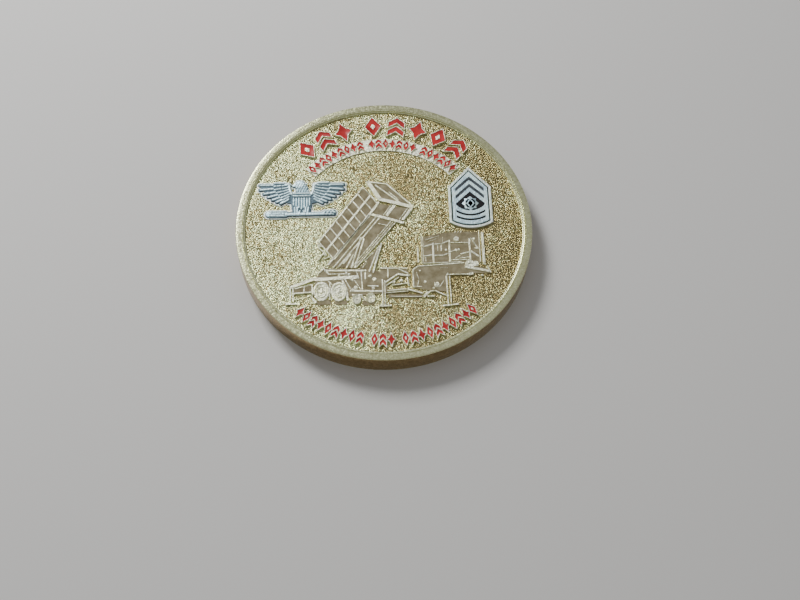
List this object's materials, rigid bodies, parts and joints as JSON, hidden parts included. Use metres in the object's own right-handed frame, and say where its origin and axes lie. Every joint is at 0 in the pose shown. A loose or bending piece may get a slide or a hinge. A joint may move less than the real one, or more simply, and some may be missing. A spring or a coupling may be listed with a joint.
{
  "type": "challenge coin",
  "caption": "Round struck challenge coin with raised rims, sand-blasted field, relief artwork, seated silver badges and enamel-filled ornament arcs",
  "frame": {"origin": "centre of the plane the reverse rim rests on", "axes": "+Z out of the obverse, along the coin's axis; +Y to 12 o'clock of the artwork; +X to 3 o'clock"},
  "size_m": [0.0508, 0.0508, 0.004],
  "materials": {
    "gold_plate": "pale antique gold plate, sand-blasted field and polished relief",
    "silver_plate": "satin bright silver plate",
    "black_enamel": "gloss baked enamel",
    "red_enamel": "gloss baked enamel, slightly sunk"
  },
  "bodies": {
    "root": {"coin_body": "gold_plate", "eagle_badge": "silver_plate", "chevron_badge": "silver_plate", "upper_chevron_enamel": "black_enamel", "lower_chevron_enamel": "black_enamel", "lens_enamel": "black_enamel", "upper_rocker_enamel": "black_enamel", "lower_rocker_enamel": "black_enamel", "title_enamel_1": "red_enamel", "title_enamel_2": "red_enamel", "title_enamel_3": "red_enamel", "title_enamel_4": "red_enamel", "title_enamel_5": "red_enamel", "title_enamel_6": "red_enamel", "title_enamel_7": "red_enamel", "title_enamel_8": "red_enamel", "upper_legend_enamel_left": "red_enamel", "upper_legend_enamel_middle": "red_enamel", "upper_legend_enamel_right": "red_enamel", "lower_legend_enamel_left": "red_enamel", "lower_legend_enamel_middle": "red_enamel", "lower_legend_enamel_right": "red_enamel"}
  },
  "joints": []
}
